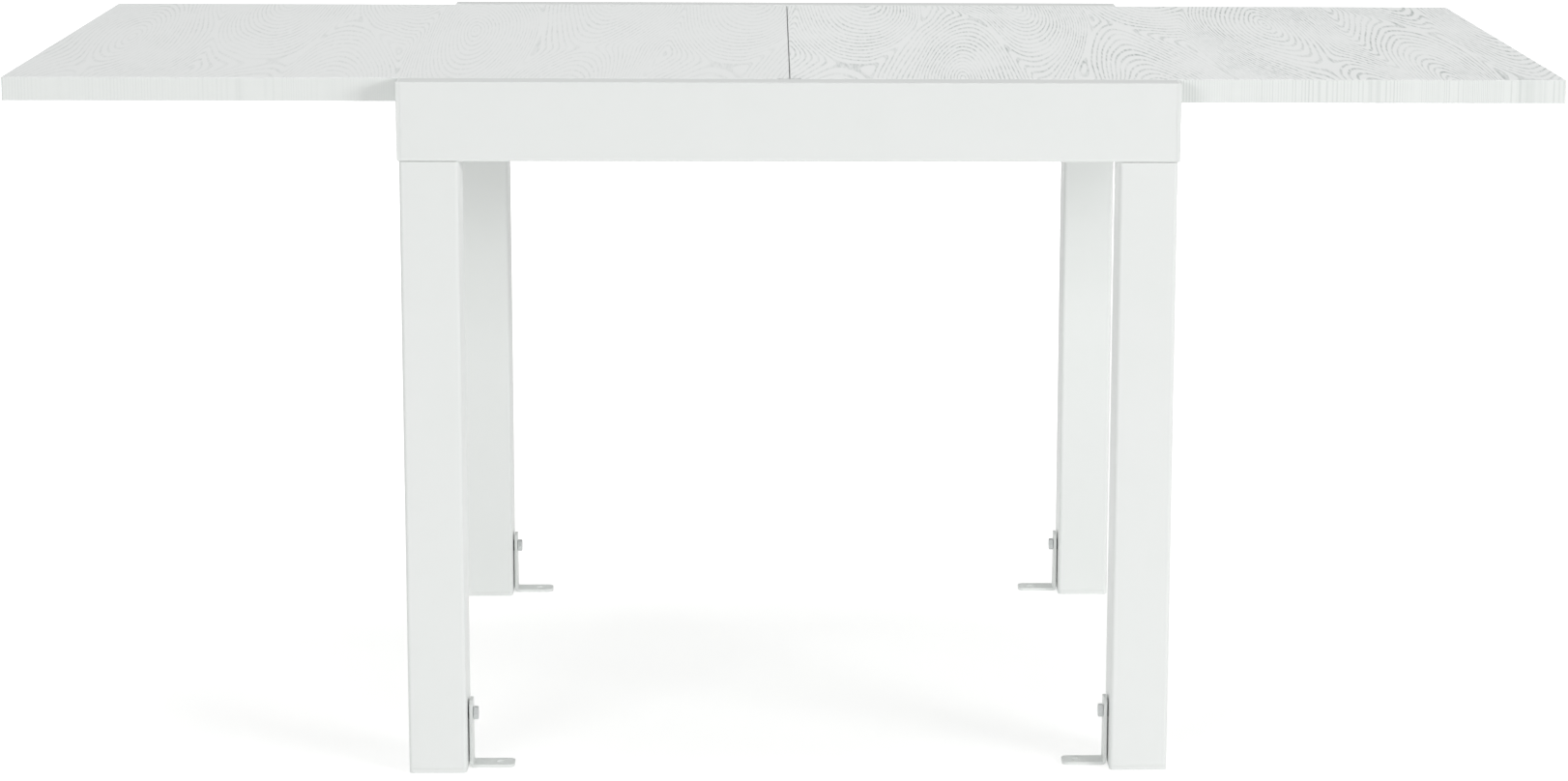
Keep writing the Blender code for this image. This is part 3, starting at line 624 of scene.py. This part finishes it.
def make_spacer(place):
    """The washer behind a bracket: a rectangle with broken outer edges, turned about X."""
    low, high = corners(f"bracket_spacer_{place}")
    outer, bore = (high[2] - low[2]) / 2, SPACER_BORE / 2
    profile = [
        (bore, low[0]),
        (outer - SPACER_EDGE, low[0]),
        (outer, low[0] + SPACER_EDGE),
        (outer, high[0] - SPACER_EDGE),
        (outer - SPACER_EDGE, high[0]),
        (bore, high[0]),
    ]
    center = ((low + high) / 2)[1:]
    turn = np.linspace(0, FULL_TURN, TURN_POINTS, endpoint=False)
    circle = np.stack([np.cos(turn), np.sin(turn)], axis=1)
    shape = loft([across(center + radius * circle, level, "X") for radius, level in profile], joined=True)
    piece(f"spacer_ring_{place}", shape, WASHER_NYLON, "base", [f"bracket_spacer_{place}"])


PAN_HEAD = (3.6 * MM, 2.2 * MM)  # a screw head's radius and height
CHANNEL_HEAD = (3.6 * MM, 0.25 * MM)  # flush, clear of the glide that runs past it
HINGE_HEAD = (2.6 * MM, 0.25 * MM)
HINGE_SCREWS = (22 * MM, 38 * MM)  # from the seam
SCREWS_IN_ROW = 6
RUNNER_MARGIN = 30 * MM  # from a row's last screw to the end of what it holds
CHANNEL_MARGIN = 40 * MM
RUNNER_LINE = 0.55  # where the row lies, as a share of the flange's width

# How finely a screw head is drawn
HEAD_POINTS = 48
HEAD_RINGS = 22

# A screw head's shape, in shares of its radius and height
HEAD_MIDDLE = 0.04  # the radius of the first ring
DOME_FALL = 0.92
ARM_HALF_WIDTH = 0.17
ARM_SLOPE = 0.07
ARM_END = 0.62
ARM_TAPER = 0.25
RECESS_DEPTH = 0.6


def screw_heads(centers, out, size):
    """Screw heads that face out. Over a disc a head is a flattened dome, less a cross-shaped recess, which is
    there where the nearer of two arms' middle lines is closer than the arm's half width, and which tapers to
    nothing at the arms' ends."""
    head_radius, head_height = size
    out = np.array(out, float)
    side = np.array([out[1], out[2], out[0]])
    other = np.cross(out, side)
    turn = np.linspace(0, FULL_TURN, HEAD_POINTS, endpoint=False)
    share = np.linspace(HEAD_MIDDLE, 1, HEAD_RINGS)[:, None]
    u, v = share * np.cos(turn), share * np.sin(turn)
    dome = np.sqrt(np.clip(1 - DOME_FALL * share**4, 0, 1)) + 0 * u
    arm = np.clip((ARM_HALF_WIDTH - np.minimum(abs(u), abs(v))) / ARM_SLOPE, 0, 1)
    reach = np.clip((ARM_END - np.maximum(abs(u), abs(v))) / ARM_TAPER, 0, 1)
    height = head_height * (dome - RECESS_DEPTH * arm * reach)
    flat = head_radius * (u[..., None] * side + v[..., None] * other)
    head = np.concatenate([flat + height[..., None] * out, flat[-1:]])
    return gather([loft(head + center) for center in np.array(centers)])


def make_screws(side, sign):
    """On one side: a row of screws through the runner's flange into the left leaf, a row of flush ones that
    hold the channel to its rail, and two flush ones in each hinge plate."""
    low, high = corners(f"runner_{side}")
    inner = min(abs(low[1]), abs(high[1]))
    row = np.linspace(low[0] + RUNNER_MARGIN, high[0] - RUNNER_MARGIN, SCREWS_IN_ROW)
    centers = [(x, sign * (inner + RUNNER_LINE * RUNNER_FLANGE), high[2] - RUNNER_WALL) for x in row]
    heads = screw_heads(centers, (0, 0, -1), PAN_HEAD)
    piece(f"runner_screws_{side}", heads, ZINC, "left_leaf")
    low, high = corners(f"slide_channel_{side}")
    outer = max(abs(low[1]), abs(high[1]))
    row = np.linspace(low[0] + CHANNEL_MARGIN, high[0] - CHANNEL_MARGIN, SCREWS_IN_ROW)
    centers = [(x, sign * (outer - CHANNEL_WALL), (low[2] + high[2]) / 2) for x in row]
    heads = screw_heads(centers, (0, -sign, 0), CHANNEL_HEAD)
    piece(f"channel_screws_{side}", heads, ZINC, "base")
    for end, way in ENDS.items():
        low, high = corners(f"hinge_plate_{end}_{side}")
        inner = min(abs(low[1]), abs(high[1]))
        centers = [(way * x, sign * (inner + HINGE_PLATE), (low[2] + high[2]) / 2) for x in HINGE_SCREWS]
        heads = screw_heads(centers, (0, sign, 0), HINGE_HEAD)
        piece(f"hinge_screws_{end}_{side}", heads, ZINC, f"{end}_leaf")


def make_table():
    """All the pieces that are made here, in place of CAD nodes or beside them."""
    for side, sign in SIDES.items():
        make_rail(side)
        make_screws(side, sign)
        for end, way in ENDS.items():
            place = f"{side}_{end}"
            make_leg(place)
            make_bracket(place, way)
            make_bolt(place, way)
            make_spacer(place)
    for end in ENDS:
        make_cross_rail(end)


# What a node's name holds, and its finish. All of the right leaf is foil: folded, its underside is the top
KEPT_FINISHES = {
    "left_leaf_skin": LEFT_FOIL,
    "right_leaf": RIGHT_FOIL_PAINTED_LIGHTER,
    "leaf_core": BOARD,
    "leg_plate": ZINC,
    "leg_bolt": ZINC,
    "hinge_plate": ZINC,
    "hinge_link": ZINC,
    "slide_channel": MILL_ALUMINIUM,
    "runner_glide": GLIDE_NYLON,
    "runner": MILL_ALUMINIUM,
    "glide_strip": GLIDE_NYLON,
    "channel_stop": GLIDE_NYLON,
}


def dress_kept_nodes():
    """Gives each node that stays on show the finish of the first name that its own name holds."""
    for name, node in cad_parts.items():
        if node.hide_render:
            continue
        surface = next(surface for part, surface in KEPT_FINISHES.items() if part in name)
        node.data.materials.clear()
        node.data.materials.append(surface)


FLOOR_REACH = 60.0
FLOOR_TONE = "#DCDCDB"
FLOOR_ROUGHNESS = 0.9
FLOOR_SPECULAR = 0.1
GLOW_TONE = "#FFFFFF"

# The floor's glow, as it is seen and as it lights: two distances from the middle, and its strength at each
GLOW_SEEN = (0.3, 4.0, 0.51, 1.1)
GLOW_GIVEN = (0.8, 2.5, 0.37, 0.18)

# The white surround's strength: in front, as it lights and as it is mirrored, and behind
FRONT_LIGHT = (0.39, 0.90)
REAR_LIGHT = 0.38

# Soft lights: where each one stands and what it faces, its width and height in metres, its power in watts
SOFTBOXES = {
    "key_right": ((4.44, -3.73, 2.0), (0.0, 0.0, 0.6), 2.1, 1.1, 119.5),
    "fill_left": ((-2.91, -5.04, 2.15), (0.0, 0.0, 0.6), 2.4, 1.0, 69.0),
    "overhead": ((0.0, 0.3, 3.6), (0.0, 0.0, 0.75), 3.0, 2.0, 42.0),
    "fill_rear": ((-0.6, 4.6, 0.40), (0.0, 0.0, 0.45), 3.0, 0.6, 34.0),
}


def make_floor():
    """A pale floor that runs past every horizon: a square, which glows a little and is clear from below."""
    edge = np.array([[-1, -1, 0], [1, -1, 0], [1, 1, 0], [-1, 1, 0]]) * FLOOR_REACH
    mesh = bpy.data.meshes.new("floor")
    mesh.from_pydata(edge.tolist(), [], [[0, 1, 2, 3]])
    floor = bpy.data.objects.new("floor", mesh)
    bpy.context.scene.collection.objects.link(floor)
    made, tree, shader, place = finish("matt_white_floor")
    apart = add(tree, "VectorMath", [place], operation="LENGTH").outputs["Value"]
    shown = add(tree, "MapRange", [apart, *GLOW_SEEN])
    given = add(tree, "MapRange", [apart, *GLOW_GIVEN])
    seen = add(tree, "LightPath").outputs["Is Camera Ray"]
    glow = add(tree, "MapRange", [seen, 0.0, 1.0, given, shown])
    look = {
        "Base Color": linear(FLOOR_TONE),
        "Roughness": FLOOR_ROUGHNESS,
        "Specular IOR Level": FLOOR_SPECULAR,
        "Emission Color": linear(GLOW_TONE),
        "Emission Strength": glow,
    }
    feed(tree, shader, look)
    below = add(tree, "NewGeometry").outputs["Backfacing"]
    clear = add(tree, "BsdfTransparent")
    surface = add(tree, "MixShader", [below, shader, clear])
    feed(tree, tree.nodes["Material Output"], {"Surface": surface})
    mesh.materials.append(made)


def make_surround():
    """A surround, white to the camera, that lights the table softly, and more where its front is mirrored."""
    world = bpy.data.worlds.new("white_surround")
    world.use_nodes = True
    tree = world.node_tree
    away = add(tree, "SeparateXYZ", [add(tree, "TexCoord").outputs["Generated"]]).outputs[1]
    path = add(tree, "LightPath").outputs
    front = add(tree, "MapRange", [path["Is Glossy Ray"], 0.0, 1.0, *FRONT_LIGHT])
    around = add(tree, "MapRange", [away, -1.0, 0.0, front, REAR_LIGHT])
    light = add(tree, "Math", [around, path["Is Camera Ray"]], operation="MAXIMUM")
    feed(tree, tree.nodes["Background"], {"Color": light})
    bpy.context.scene.world = world


def make_lights():
    """Soft studio lights, the strongest from the right, neither seen themselves nor mirrored in the table."""
    for name, (at, aim, width, height, power) in SOFTBOXES.items():
        lamp = bpy.data.lights.new(name, "AREA")
        lamp.shape = "RECTANGLE"
        lamp.size = width
        lamp.size_y = height
        lamp.energy = power
        made = bpy.data.objects.new(name, lamp)
        made.location = at
        made.rotation_euler = (Vector(aim) - Vector(at)).to_track_quat("-Z", "Y").to_euler()
        made.visible_camera = False
        made.visible_glossy = False
        bpy.context.scene.collection.objects.link(made)


# The camera: its place, how far it turns right, tips down and rolls, and its lens in pixels of the picture
CAMERA_AT = (-0.0216, -4.3053, 1.2461)
CAMERA_YAW = 0.03775
CAMERA_PITCH = 0.18294
CAMERA_ROLL = 0.00695
PICTURE_WIDTH = 1622
FOCAL_PIXELS = 3890.5
SHIFT = (-0.0797, -0.0600)


def make_camera():
    """A long lens in front of the table, a little above its top."""
    camera = bpy.data.cameras.new("camera")
    camera.sensor_fit = "HORIZONTAL"
    camera.lens = FOCAL_PIXELS / PICTURE_WIDTH * camera.sensor_width
    camera.shift_x, camera.shift_y = SHIFT
    made = bpy.data.objects.new("camera", camera)
    turned = Matrix.Rotation(-CAMERA_YAW, 4, "Z") @ Matrix.Rotation(QUARTER_TURN - CAMERA_PITCH, 4, "X")
    made.matrix_world = Matrix.Translation(CAMERA_AT) @ turned @ Matrix.Rotation(CAMERA_ROLL, 4, "Z")
    bpy.context.scene.collection.objects.link(made)
    bpy.context.scene.camera = made


make_table()
dress_kept_nodes()
make_floor()
make_surround()
make_lights()
make_camera()
bpy.context.scene.view_settings.view_transform = "Standard"
